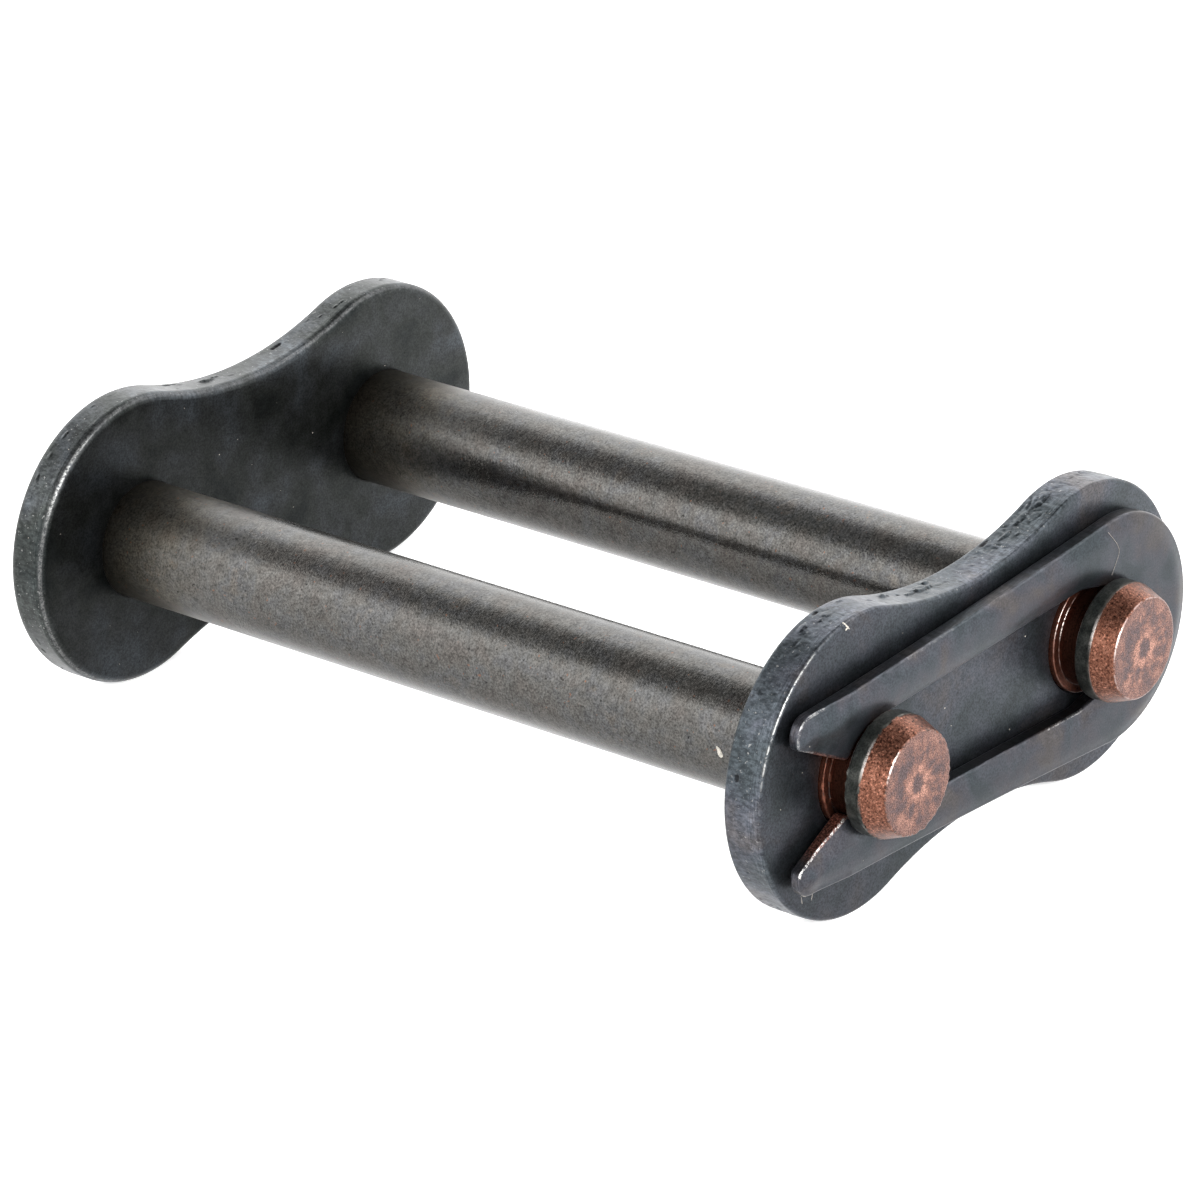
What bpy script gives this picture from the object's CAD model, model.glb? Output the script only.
from math import acos, atan2, ceil, cos, floor, pi, radians, sin, sqrt, tan
from random import Random

import bmesh
import bpy
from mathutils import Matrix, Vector, noise
from mathutils.geometry import delaunay_2d_cdt
from mathutils.kdtree import KDTree


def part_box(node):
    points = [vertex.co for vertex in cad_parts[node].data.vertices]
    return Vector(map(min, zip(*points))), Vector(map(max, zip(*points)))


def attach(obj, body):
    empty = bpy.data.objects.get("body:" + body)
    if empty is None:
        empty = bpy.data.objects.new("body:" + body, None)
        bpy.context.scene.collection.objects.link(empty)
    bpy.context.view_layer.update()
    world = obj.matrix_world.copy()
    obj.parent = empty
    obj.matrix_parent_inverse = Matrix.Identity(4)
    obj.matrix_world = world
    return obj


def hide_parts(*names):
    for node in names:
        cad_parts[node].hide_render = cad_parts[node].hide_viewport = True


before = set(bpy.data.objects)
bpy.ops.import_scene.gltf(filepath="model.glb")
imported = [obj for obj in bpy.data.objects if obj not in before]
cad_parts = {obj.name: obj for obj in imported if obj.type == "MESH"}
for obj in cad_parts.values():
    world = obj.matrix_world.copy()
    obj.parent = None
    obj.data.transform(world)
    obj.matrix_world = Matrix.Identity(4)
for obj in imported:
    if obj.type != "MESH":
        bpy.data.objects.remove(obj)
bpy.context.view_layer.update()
mm = 0.001


# The bench: a pale glowing floor inside a light tent, bright round its sides, with a dim opening overhead
# that leans along the pitch. A small hard panel on the clip's side puts the glints on polished edges.
# X runs along the pitch, Y along the pins towards the clip, and Z is up.
camera_place = Vector((302.40, 245.23, 182.34)) * mm
camera_target = Vector((-12.13, -10.46, 2.15)) * mm
camera_roll = radians(-1.28)
camera_lens = 188.16
floor_reach = 3.0
floor_glow = 0.45
tent_strength = 3.9
tent_lean = radians(8.5)
tent_axis = Vector((sin(tent_lean), 0, cos(tent_lean)))
tent_by_elevation = (
    (-90, 0.6), (-4, 0.66), (12, 0.68), (27, 0.84), (39, 1.05), (44, 0.72), (49, 0.15), (54, 0.07), (90, 0.08)
)
panel_direction = Vector((0.34, 0.80, 0.47)).normalized()
panel_distance = 0.8
panel_width = 0.11
panel_watts = 3.0


class Flow:
    """What a node gives. Arithmetic on it adds the node that does the sum, and a name or number in square
    brackets picks another of the node's outputs."""

    def __init__(self, node, output=0):
        self.node = node
        self.output = output

    def __getitem__(self, output):
        return Flow(self.node, output)

    def __add__(self, other):
        return maths("ADD", self, other)

    def __sub__(self, other):
        return maths("SUBTRACT", self, other)

    def __rsub__(self, other):
        return maths("SUBTRACT", other, self)

    def __mul__(self, other):
        return maths("MULTIPLY", self, other)

    def __rmul__(self, other):
        return maths("MULTIPLY", other, self)

    def __truediv__(self, other):
        return maths("DIVIDE", self, other)

    def __rtruediv__(self, other):
        return maths("DIVIDE", other, self)

    def into(self, socket):
        self.node.id_data.links.new(self.node.outputs[self.output], socket)


def add_node(kind, feeds=None, tree=None, **settings):
    """One node, with its settings and what goes into its sockets: a fixed value or what another node gives.
    A node that nothing feeds is told its tree."""
    feeds = feeds or {}
    tree = tree or next(value.node.id_data for value in feeds.values() if isinstance(value, Flow))
    made = tree.nodes.new(kind)
    for name, value in settings.items():
        setattr(made, name, value)
    for socket, value in feeds.items():
        if isinstance(value, Flow):
            value.into(made.inputs[socket])
        else:
            made.inputs[socket].default_value = value
    return Flow(made)


def maths(operation, *values):
    """One sum on one or two values."""
    return add_node("ShaderNodeMath", dict(enumerate(values)), operation=operation)


def within(value, low, high):
    """How far a value lies from low to high, from 0 to 1."""
    return add_node("ShaderNodeMapRange", {"Value": value, "From Min": low, "From Max": high})


def grade(share, *stops):
    """A colour ramp. Each stop is a place from 0 to 1 and a grey or a colour."""
    made = add_node("ShaderNodeValToRGB", {"Fac": share})
    elements = made.node.color_ramp.elements
    while len(elements) < len(stops):
        elements.new(0.5)
    for element, (place, tone) in zip(elements, stops):
        element.position = place
        element.color = (*tone, 1) if isinstance(tone, tuple) else (tone, tone, tone, 1)
    return made


def show(name, mesh):
    """Puts a mesh in the scene as an object of its own."""
    made = bpy.data.objects.new(name, mesh)
    bpy.context.collection.objects.link(made)
    return made


def light_the_tent():
    tent = bpy.data.worlds.new("light_tent")
    tent.use_nodes = True
    direction = add_node("ShaderNodeTexCoord", tree=tent.node_tree)["Generated"]
    height = add_node("ShaderNodeVectorMath", {0: direction, 1: tent_axis}, operation="DOT_PRODUCT")["Value"]
    stops = [((sin(radians(elevation)) + 1) / 2, glow) for elevation, glow in tent_by_elevation]
    backdrop = tent.node_tree.nodes["Background"]
    backdrop.inputs["Strength"].default_value = tent_strength
    grade(within(height, -1.0, 1.0), *stops).into(backdrop.inputs["Color"])
    bpy.context.scene.world = tent


def hang_the_panel():
    panel = bpy.data.lights.new("glint_panel", "AREA")
    panel.shape = "DISK"
    panel.size = panel_width
    panel.energy = panel_watts
    hung = show("glint_panel", panel)
    hung.location = panel_direction * panel_distance
    hung.rotation_euler = panel_direction.to_track_quat("Z", "Y").to_euler()


def new_finish(name, **fixed):
    """A material, its shader with constants on the shader's own sockets, and the place on the piece."""
    made = bpy.data.materials.new(name)
    made.use_nodes = True
    shader = made.node_tree.nodes["Principled BSDF"]
    for socket, value in fixed.items():
        shader.inputs[socket.replace("_", " ")].default_value = value
    return made, shader, add_node("ShaderNodeTexCoord", tree=made.node_tree)["Object"]


def lay_the_floor():
    paper = new_finish(
        "pale_floor", Base_Color=(0.9, 0.9, 0.9, 1), Roughness=0.9, Specular_IOR_Level=0.2,
        Emission_Color=(1, 1, 1, 1), Emission_Strength=floor_glow,
    )[0]
    corners = [(-1, -1), (1, -1), (1, 1), (-1, 1)]
    mesh = bpy.data.meshes.new("floor")
    mesh.from_pydata([(floor_reach * x, floor_reach * y, 0) for x, y in corners], [], [(0, 1, 2, 3)])
    mesh.materials.append(paper)
    show("floor", mesh)


def set_the_camera():
    camera = bpy.data.cameras.new("camera")
    camera.lens = camera_lens
    camera.clip_start = 0.01
    stand = show("camera", camera)
    stand.location = camera_place
    aim = (camera_target - camera_place).to_track_quat("-Z", "Y").to_matrix().to_4x4()
    stand.rotation_euler = (aim @ aim.Rotation(camera_roll, 4, "Z")).to_euler()
    bpy.context.scene.camera = stand


light_the_tent()
hang_the_panel()
lay_the_floor()
set_the_camera()
bpy.context.scene.view_settings.view_transform = "Standard"


# Back plate: one of two plates punched from the same strip, figure-of-eight with hollow waists.
# The punch leaves torn, smeared rims. The plates are tumbled, which rounds their edges, then oxidised
# dark, and the pins are pressed into this one.
back_low, back_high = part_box("back_plate")
plate_height = back_high.z - back_low.z
axis_height = (back_high.z + back_low.z) / 2
half_pitch = (back_high.x - back_low.x - plate_height) / 2
plate_waist = 16.5 * mm
back_edge_round = 0.6 * mm
back_hole_round = 0.06 * mm
pin_radius = 4.14 * mm
rim_step = 0.09 * mm
rim_rows = 28
face_step = 1.0 * mm
smear_depth = 0.03 * mm
scale_lift = 0.16 * mm
pit_depth = 0.12 * mm
rim_clearance = 0.004 * mm
# Height, in millimetres, from which a scab throws a full shadow. The shadow's place and width are shares of
# the scab's own half size, squared
scab_full = 0.07
shadow_at = 1.14
shadow_width = 0.24
fade_reach = 2.0
back_tear = 0.25
back_seed = 21.0
back_small_scabs = 40
# Stretches of the rim, in millimetres along it, and how strong the wear or the tearing is there
back_worn = (
    (2.0, 13.0, 0.25), (12.0, 26.0, 0.2), (24.0, 32.5, 0.46), (32.0, 36.0, 0.14), (50.0, 62.0, 0.12),
)
back_torn = (24.0, 46.0, 0.2), (66.0, 116.0, 0.8)
# Scabs on the rim, in millimetres: along it, across it from the back face, half sizes and height
back_scabs = (
    (41.5, 0.5, 0.45, 0.3, -0.09), (42.3, 0.4, 0.3, 0.2, -0.06), (45.2, 1.1, 0.75, 0.4, 0.13),
    (46.3, 0.8, 0.45, 0.2, 0.07), (52.9, 0.7, 0.6, 0.35, -0.1), (27.0, 0.3, 0.4, 0.25, 0.06),
    (30.8, 0.6, 0.35, 0.25, 0.05), (36.0, 0.4, 0.5, 0.25, 0.06),
)


def arc(centre_x, centre_z, radius, start, turn):
    """Points along an arc in the X-Z plane, about a degree apart."""
    count = max(2, ceil(abs(turn)))
    angles = [radians(start + turn * i / count) for i in range(count + 1)]
    return [Vector((centre_x + radius * cos(a), centre_z + radius * sin(a))) for a in angles]


def plate_outline():
    """Round lobes about both pins, joined by hollow waists. It runs from X towards Z."""
    lobe = plate_height / 2
    waist = plate_waist / 2
    hollow = (half_pitch**2 + waist**2 - lobe**2) / (2 * (lobe - waist))
    meeting = atan2(waist + hollow, half_pitch) * 180 / pi
    lobe_turn = 360 - 2 * meeting
    hollow_turn = 2 * meeting - 180
    return (
        arc(half_pitch, 0, lobe, meeting - 180, lobe_turn)
        + arc(0, waist + hollow, hollow, -meeting, hollow_turn)
        + arc(-half_pitch, 0, lobe, meeting, lobe_turn)
        + arc(0, -waist - hollow, hollow, 180 - meeting, hollow_turn)
    )


def even_steps(path, step):
    """A closed path in even steps: each point, its direction away from the inside, and the way gone."""
    ring = path + path[:1]
    reach = [0.0]
    for here, there in zip(ring, ring[1:]):
        reach.append(reach[-1] + (there - here).length)
    count = round(reach[-1] / step)
    points = []
    leg = 0
    for i in range(count):
        gone = reach[-1] * i / count
        while reach[leg + 1] <= gone:
            leg += 1
        points.append(ring[leg].lerp(ring[leg + 1], (gone - reach[leg]) / (reach[leg + 1] - reach[leg])))
    stations = []
    for i, point in enumerate(points):
        along = points[(i + 1) % count] - points[i - 1]
        away = Vector((along.y, -along.x)).normalized()
        stations.append((point, away, reach[-1] * i / count))
    return stations


def across_rim(back, front, edge_round, rows):
    """Rows across a rim, from back face to front face: inset, y, share of the rim and share of an edge."""
    turns = [pi / 2 * i / 5 for i in range(6)]
    behind = [(edge_round * (1 - sin(t)), back + edge_round * (1 - cos(t)), 0.0, sin(2 * t)) for t in turns]
    ahead = [(edge_round * (1 - sin(t)), front - edge_round * (1 - cos(t)), 1.0, sin(2 * t)) for t in turns]
    flat = []
    for i in range(1, rows):
        share = i / rows
        flat.append((0.0, back + edge_round + share * (front - back - 2 * edge_round), share, 0.0))
    return behind + flat + ahead[::-1]


def fill_face(loops, step):
    """Triangles over a flat face between its outer loop and its holes, with a grid of points inside it."""
    points = [point for loop in loops for point in loop]
    walls = set()
    start = 0
    for number, loop in enumerate(loops):
        for i in range(len(loop)):
            here, there = start + i, start + (i + 1) % len(loop)
            walls.add((here, there) if number == 0 else (there, here))
        start += len(loop)
    taken = {(round(point.x / step), round(point.y / step)) for point in points}
    reach_x = max(abs(point.x) for point in points)
    reach_z = max(abs(point.y) for point in points)
    inner = []
    for i in range(-floor(reach_x / step), floor(reach_x / step) + 1):
        for j in range(-floor(reach_z / step), floor(reach_z / step) + 1):
            if (i, j) not in taken:
                inner.append(Vector((i * step, j * step)))
    solved = delaunay_2d_cdt(points + inner, [tuple(sorted(wall)) for wall in walls], [], 0, 1e-9, True)
    source = [origins[0] for origins in solved[3]]
    triangles = [tuple(source[k] for k in face) for face in solved[2]]
    owner = {}
    for number, (a, b, c) in enumerate(triangles):
        owner.update({(a, b): number, (b, c): number, (c, a): number})
    waiting = [owner[wall] for wall in walls]
    inside = set(waiting)
    while waiting:
        a, b, c = triangles[waiting.pop()]
        for here, there in ((a, b), (b, c), (c, a)):
            if (here, there) in walls or (there, here) in walls:
                continue
            beyond = owner.get((there, here))
            if beyond is not None and beyond not in inside:
                inside.add(beyond)
                waiting.append(beyond)
    return inner, [triangles[number] for number in sorted(inside)]


def mark_points(mesh, name, values):
    """Gives each point of a mesh a number under a name."""
    mesh.attributes.new(name, "FLOAT", "POINT").data.foreach_set("value", values)


def blanked_mesh(name, outlines, back, front, rounds, step, rows, grid, relief, wear, roll=None):
    """A flat piece cut from strip: its outer rim, the rims of its holes, and its two faces.
    Relief lifts the outer rim and says where it is pocketed. Wear says how worn its edges are, and how
    much copper was rubbed onto it.
    Roll draws the front face down near the outline."""
    points, faces, marks = [], [], []
    face_loops, back_rows, front_rows = [], [], []
    for number, (outline, edge_round) in enumerate(zip(outlines, rounds)):
        stations = even_steps(outline, step)
        count = len(stations)
        side = 1 if number == 0 else -1
        first = len(points)
        lines = across_rim(back, front, edge_round, rows if number == 0 else 4)
        for inset, y, share, edge in lines:
            for point, away, gone in stations:
                lift, pocket = relief(gone, share, point) if number == 0 and inset == 0 else (0.0, 0.0)
                drop = roll(point, 0.0) * (y - back) / (front - back) if roll else 0.0
                place = point + away * side * (lift - inset)
                points.append((place.x, y - drop, place.y))
                worn, coppered = wear(gone, share, point) if number == 0 else (0.0, 0.0)
                marks.append(((gone, y - back, 0.0), 1 - inset / edge_round, edge, worn, coppered, pocket))
        for row in range(len(lines) - 1):
            for i in range(count):
                a, b = first + row * count + i, first + row * count + (i + 1) % count
                quad = (a, a + count, b + count, b)
                faces.append(quad if number == 0 else quad[::-1])
        face_loops.append([point - away * side * edge_round for point, away, gone in stations])
        back_rows += range(first, first + count)
        front_rows += range(first + (len(lines) - 1) * count, first + len(lines) * count)
    inner, triangles = fill_face(face_loops, grid)
    edge_finder = KDTree(len(back_rows))
    for i, k in enumerate(back_rows):
        edge_finder.insert((points[k][0], points[k][2], 0), i)
    edge_finder.balance()
    back_rows += range(len(points), len(points) + len(inner))
    points += [(point.x, back, point.y) for point in inner]
    front_rows += range(len(points), len(points) + len(inner))
    for point in inner:
        depth = edge_finder.find((point.x, point.y, 0))[2]
        points.append((point.x, front - (roll(point, depth) if roll else 0.0), point.y))
    marks += [((0.0, 0.0, 0.0), 0.0, 0.0, 0.0, 0.0, 0.0)] * (2 * len(inner))
    for a, b, c in triangles:
        faces.append((back_rows[a], back_rows[b], back_rows[c]))
        faces.append((front_rows[c], front_rows[b], front_rows[a]))
    mesh = bpy.data.meshes.new(name)
    mesh.from_pydata([(x, y, z + axis_height) for x, y, z in points], [], faces)
    mesh.attributes.new("along", "FLOAT_VECTOR", "POINT").data.foreach_set(
        "vector", [value for mark in marks for value in mark[0]]
    )
    for column, mark_name in enumerate(("rim", "edge", "worn", "coppered", "pocket"), 1):
        mark_points(mesh, mark_name, [mark[column] for mark in marks])
    mesh.shade_smooth()
    return mesh


plate_path = plate_outline()
plate_reach = sum((there - here).length for here, there in zip(plate_path, plate_path[1:])) / mm


def small_scabs(seed, count):
    """Small scabs of scale scattered along a rim, listed as the large ones are."""
    draw = Random(seed)
    thrown = []
    for i in range(count):
        place = draw.uniform(0, plate_reach)
        half = draw.uniform(0.12, 0.28)
        across = draw.triangular(0.1, 2.3, 0.4)
        thrown.append((place, across, half * draw.uniform(0.9, 1.8), half, draw.uniform(0.02, 0.055)))
    return thrown


def strength_at(place, stretches):
    """How strong a mark is at a place along the rim. It fades in and out at the ends of each stretch."""
    strength = 0.0
    for start, end, most in stretches:
        strength += most * max(0.0, min(1.0, (place - start) / fade_reach, (end - place) / fade_reach))
    return strength


def torn_rim(seed, tear, torn_stretches, large_scabs, small_count, thickness):
    """How far the punch's smears, scales, pits and scabs stand out of a plate's rim, and how dark the
    pockets under them are. Tear says how deep they are, from 0 to 1. None stands past the plate's own box."""
    scabs = list(large_scabs) + small_scabs(seed, small_count)

    def relief(gone, share, point):
        place = gone / mm
        depth = share * thickness / mm
        warp = noise.noise(Vector((place * 0.5, depth * 0.6, seed)))
        kink = noise.noise(Vector((place * 1.6, depth * 1.8, seed + 5)))
        smear = noise.noise(Vector((place * 1.3 + warp, depth * 0.4, seed + 3)))
        patch = noise.noise(Vector((place * 0.4, depth * 0.8, seed + 7)))
        fine = noise.noise(Vector((place * 6, depth * 3, seed + 13)))
        step = (place * 0.9 + 1.2 * warp + 0.5 * kink + 0.45 * depth) % 1.0
        torn = max(0.0, 0.6 + patch) * strength_at(place, torn_stretches) * max(0.1, 1.15 - 1.1 * share)
        pit = max(0.0, noise.noise(Vector((place * 2.8, depth * 2.2, seed + 11))) - 0.5)
        wave = 2.6 * step * (1 - step) ** 0.5 - 0.6
        lift = smear_depth * (smear + 0.25 * fine) - pit_depth * pit + scale_lift * torn * wave
        lift *= tear
        pocket = tear * max(1.5 * pit, min(0.5, torn) * max(0.0, 1 - abs(step - 0.97) / 0.05))
        for at, across, half_along, half_across, height in scabs:
            along = abs(place - at) / half_along
            if along < 1.5:
                below = (depth - across) / half_across
                spread = along**2 + below**2 + 0.6 * kink + 0.3 * fine
                strong = min(1.0, abs(height) / scab_full)
                if spread < 1:
                    steep = 1.2 + 3.6 * max(0.0, min(1.0, below))
                    lift += height * mm * min(1.0, steep * (1 - spread)) * (1.0 + 0.35 * kink)
                if height < 0:
                    pocket = max(pocket, strong * min(1.0, 3 * (1 - spread)))
                else:
                    lit = max(0.05, min(1.0, 0.35 + 0.9 * below))
                    ring = min(1.0, 1.6 - 1.6 * abs(spread - shadow_at) / shadow_width)
                    pocket = max(pocket, strong * lit * ring)
        headroom = min(plate_height / 2 - abs(point.y), plate_height / 2 + half_pitch - abs(point.x))
        return min(headroom, min(1.0, 8 * share, 8 * (1 - share)) * lift - rim_clearance), pocket

    return relief


def worn_between(stretches):
    """Wears the front edge of a plate to the metal over stretches of its rim."""

    def wear(gone, share, point):
        return strength_at(gone / mm, stretches) * (share > 0.5), 0.0

    return wear


def grain(place, size, detail=2.0, roughness=0.5, distortion=0.0):
    """Noise with features of about the given size."""
    feeds = {"Vector": place, "Scale": 1 / size, "Detail": detail, "Roughness": roughness}
    return add_node("ShaderNodeTexNoise", {**feeds, "Distortion": distortion})


def blend(share, one, other, mode="MIX"):
    """Two colours mixed by a share."""
    return add_node("ShaderNodeMix", {0: share, 6: one, 7: other}, data_type="RGBA", blend_type=mode)[2]


def shaded(colour, pattern, *stops):
    """A colour made darker or lighter by a pattern, graded by its stops."""
    return blend(1.0, colour, grade(pattern, *stops), "MULTIPLY")


def marked(place, name, output="Fac"):
    """What a mesh carries at a place under a name."""
    return add_node("ShaderNodeAttribute", tree=place.node.id_data, attribute_name=name)[output]


def axes(place):
    """The X, Y and Z of a place."""
    return add_node("ShaderNodeSeparateXYZ", {"Vector": place})


def stretched(place, along, across):
    """A place whose pattern is drawn out along a rim, or across it, by shares under 1."""
    return add_node("ShaderNodeMapping", {"Vector": place, "Scale": (along, across, 1.0)})


def coat(shader, colour, gloss, height, depth, strength):
    """Gives a shader its colour and roughness, and a bump of the given depth."""
    bump = add_node("ShaderNodeBump", {"Height": height, "Distance": depth, "Strength": strength})
    for flow, socket in ((colour, "Base Color"), (gloss, "Roughness"), (bump, "Normal")):
        flow.into(shader.inputs[socket])


def oxide_steel(name, tints, metal_share, rim_shade, rubbed_share, line_lost, break_size, thickness):
    """Dark oxide on tumbled steel: clouds of tint, fine grain, streaked and flecked rims, lined towards the
    front, and edges rubbed and worn to the metal."""
    made, shader, place = new_finish(name, Metallic=metal_share, Specular_IOR_Level=0.0)
    clouds = grain(place, 5 * mm, 4, 0.55, 0.3)
    patches = grain(place, 1.2 * mm, 5, 0.6)
    specks = grain(place, 0.13 * mm, 2, 0.6)
    pits = grain(place, 0.34 * mm, 2, 0.5)
    rim = marked(place, "rim")
    edge = marked(place, "edge")
    along = marked(place, "along", "Vector")
    squeezed = stretched(along, 1.0, 0.55)
    streaks = grain(squeezed, 0.28 * mm, 4, 0.7)
    smears = grain(squeezed, 1.6 * mm, 3, 0.6)
    lines = grain(stretched(along, 0.07, 1.0), 0.09 * mm, 3, 0.6)

    face = shaded(grade(clouds, *tints), patches, (0.3, 0.80), (0.7, 1.08))
    face = shaded(face, specks, (0.36, 0.66), (0.64, 1.28))
    face = shaded(face, pits, (0.27, 0.5), (0.32, 1.0))
    oily = within(axes(place)["X"], -half_pitch, half_pitch + 8 * mm)
    face = shaded(face, oily, (0.0, 1.14), (0.5, 0.97), (1.0, 0.73))
    rim_colour = blend(1.0, grade(clouds, *tints), (rim_shade, rim_shade, rim_shade, 1), "MULTIPLY")
    rim_colour = shaded(rim_colour, streaks, (0.40, 0.66), (0.5, 0.97), (0.6, 1.4))
    rim_colour = shaded(rim_colour, smears, (0.38, 0.86), (0.62, 1.12))
    lined = shaded(rim_colour, lines, (0.38, 0.8), (0.62, 1.45))
    near_front = within(axes(along)["Y"], 0.55 * thickness, 0.75 * thickness)
    rim_colour = blend(near_front, rim_colour, lined)
    flecks = grade(grain(place, 0.22 * mm, 3, 0.6), (0.655, 0.0), (0.69, 0.7))
    rim_colour = blend(flecks, rim_colour, (0.23, 0.23, 0.225, 1))
    rim_colour = blend(marked(place, "pocket") * 0.85, rim_colour, (0.008, 0.008, 0.009, 1))
    colour = blend(rim, face, rim_colour)

    rubbed = grade(edge, (0.7, 0.0), (0.98, rubbed_share)) * patches
    colour = blend(rubbed, colour, (0.15, 0.15, 0.155, 1))
    broken = grade(grain(place, break_size, 5, 0.75), (line_lost, 0.0), (line_lost + 0.08, 1.0))
    worn = marked(place, "worn") * broken
    colour = blend(grade(edge, (0.2, 0.0), (0.95, 0.55)) * worn, colour, (0.14, 0.14, 0.14, 1))
    bright = grade(edge, (0.9, 0.0), (0.99, 1.0)) * worn
    colour = blend(bright, colour, (0.62, 0.62, 0.60, 1))
    nicked = grade(grain(place, 0.3 * mm, 4, 0.75), (0.42, 0.62), (0.52, 1.0))
    colour = blend(edge, colour, blend(1.0, colour, nicked, "MULTIPLY"))
    gloss = grade(patches, (0.3, 0.30), (0.7, 0.40)) + edge * grade(streaks, (0.4, 0.0), (0.6, 0.16))
    gloss = blend(bright, gloss, (0.2, 0.2, 0.2, 1))
    coat(shader, colour, gloss, streaks * (rim * 2.0) + specks, 0.006 * mm, 0.8)
    return made


def punched_mesh(name, back, front, edge_round, hole_round, hole_radius, relief, worn):
    """A plate between its two faces, with a hole for each pin."""
    holes = [arc(x, 0, hole_radius, 0, 359) for x in (-half_pitch, half_pitch)]
    return blanked_mesh(
        name, [plate_path] + holes, back, front, (edge_round, hole_round, hole_round),
        rim_step, rim_rows, face_step, relief, worn_between(worn),
    )


back_thickness = back_high.y - back_low.y
back_mesh = punched_mesh(
    "back_plate_blank", back_low.y, back_high.y, back_edge_round, back_hole_round, pin_radius,
    torn_rim(back_seed, back_tear, back_torn, back_scabs, back_small_scabs, back_thickness), back_worn,
)
back_mesh.materials.append(oxide_steel(
    "green_black_oxide",
    (
        (0.36, (0.013, 0.015, 0.015)), (0.46, (0.020, 0.022, 0.021)),
        (0.56, (0.026, 0.028, 0.029)), (0.70, (0.037, 0.042, 0.047)),
    ),
    metal_share=0.9, rim_shade=1.72, rubbed_share=0.5, line_lost=0.46, break_size=0.16 * mm,
    thickness=back_thickness,
))
back_plate = show("back_plate_punched", back_mesh)
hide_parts("back_plate")
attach(back_plate, "pin_link")


# Pins: turned from bar and hardened. One end is pressed into the back plate and riveted over.
# The free end has a groove for the clip, a ground land, and a taper that leads the cover plate on.
# Scale and copper wash stay on the turned end, and the shaft is grey brown from the furnace.
pin_low, pin_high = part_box("mouth_pin")
cover_low, cover_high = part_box("cover_plate")
rivet_end = pin_low.y
pin_tip = pin_high.y
rivet_spread = 0.32 * mm
rivet_wall = 0.4 * mm
rivet_flat_radius = 3.2 * mm
rivet_dish_radius = 2.3 * mm
rivet_dish_depth = 0.3 * mm
shoulder_stand = 0.3 * mm
groove_width = 1.65 * mm
land_width = 1.1 * mm
neck_radius = 3.55 * mm
tip_radius = 3.5 * mm
pin_turns = 288
pin_seam = 0.0005 * mm
ripple_size = 0.9 * mm
ripple_depth = 0.012 * mm
worn_spread = radians(20)
worn_fade = 0.06
shaft_step = 0.45 * mm
end_step = 0.12 * mm
soot_reach = 14 * mm
petal_pace = 760.0
groove_start = cover_high.y + shoulder_stand
groove_end = groove_start + groove_width
land_end = groove_end + land_width


def ease(before, corner, after, radius):
    """The arc that rounds off a corner, as points and how far each is into the edge, from 0 to 1 and back."""
    back_way = (before - corner).normalized()
    on_way = (after - corner).normalized()
    opening = acos(max(-1.0, min(1.0, back_way.dot(on_way))))
    middle = corner + (back_way + on_way).normalized() * radius / sin(opening / 2)
    from_middle = corner + back_way * radius / tan(opening / 2) - middle
    to_middle = corner + on_way * radius / tan(opening / 2) - middle
    turn = pi - opening
    count = max(5, ceil(turn / radians(15)))
    arc_points = []
    for i in range(count + 1):
        share = i / count
        spoke = (from_middle * sin((1 - share) * turn) + to_middle * sin(share * turn)) / sin(turn)
        arc_points.append((middle + spoke, sin(pi * share)))
    return arc_points


def pin_section():
    """Half section of a pin, from its rivet dish to its tip. Each corner is a place along the axis and away
    from it, and how far it is rounded."""
    plate_back = back_low.y
    shaft_end = groove_start - 0.9 * mm
    head_radius = pin_radius + rivet_spread
    corners = [
        (rivet_end + rivet_dish_depth, 0.0, 0.0),
        (rivet_end + rivet_dish_depth * 0.72, rivet_dish_radius * 0.55, 0.8 * mm),
        (rivet_end, rivet_dish_radius, 0.25 * mm),
        (rivet_end, rivet_flat_radius, 0.8 * mm),
        (plate_back - rivet_wall, head_radius, 0.5 * mm),
        (plate_back, head_radius, 0.08 * mm),
        (plate_back, pin_radius, 0.0),
        (shaft_end, pin_radius, 0.0),
        (groove_start, pin_radius, 0.09 * mm),
        (groove_start, neck_radius, 0.1 * mm),
        (groove_end, neck_radius, 0.1 * mm),
        (groove_end, pin_radius, 0.09 * mm),
        (land_end, pin_radius, 0.9 * mm),
        (pin_tip, tip_radius, 0.22 * mm),
        (pin_tip, 0.0, 0.0),
    ]
    places = [Vector(corner[:2]) for corner in corners]
    path = [(places[0], 0.0)]
    for i in range(1, len(corners)):
        bend = [(places[i], 0.0)]
        if corners[i][2]:
            bend = ease(places[i - 1], places[i], places[i + 1], corners[i][2])
        start = path[-1][0]
        run = bend[0][0] - start
        step = shaft_step if corners[i][0] == shaft_end else end_step
        count = max(1, round(run.length / step))
        path += [(start + run * k / count, 0.0) for k in range(1, count)]
        path += bend
    return path


def open_tree(name, ins, out):
    """A tree with an input for each name in its list, of the kind it is listed under, and what they give."""
    tree = bpy.data.node_groups.new(name, "GeometryNodeTree")
    for kind, socket_names in ins.items():
        for socket_name in socket_names:
            tree.interface.new_socket(socket_name, in_out="INPUT", socket_type="NodeSocket" + kind)
    tree.interface.new_socket(out, in_out="OUTPUT", socket_type="NodeSocketGeometry")
    return tree, add_node("NodeGroupInput", tree=tree)


def close_tree(tree, geometry, finish, out):
    """Ends a tree in plain geometry with its finish on it."""
    real = add_node("GeometryNodeRealizeInstances", {"Geometry": geometry})
    finished = add_node("GeometryNodeSetMaterial", {"Geometry": real, "Material": finish})
    add_node("NodeGroupOutput", {out: finished})
    return tree


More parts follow.
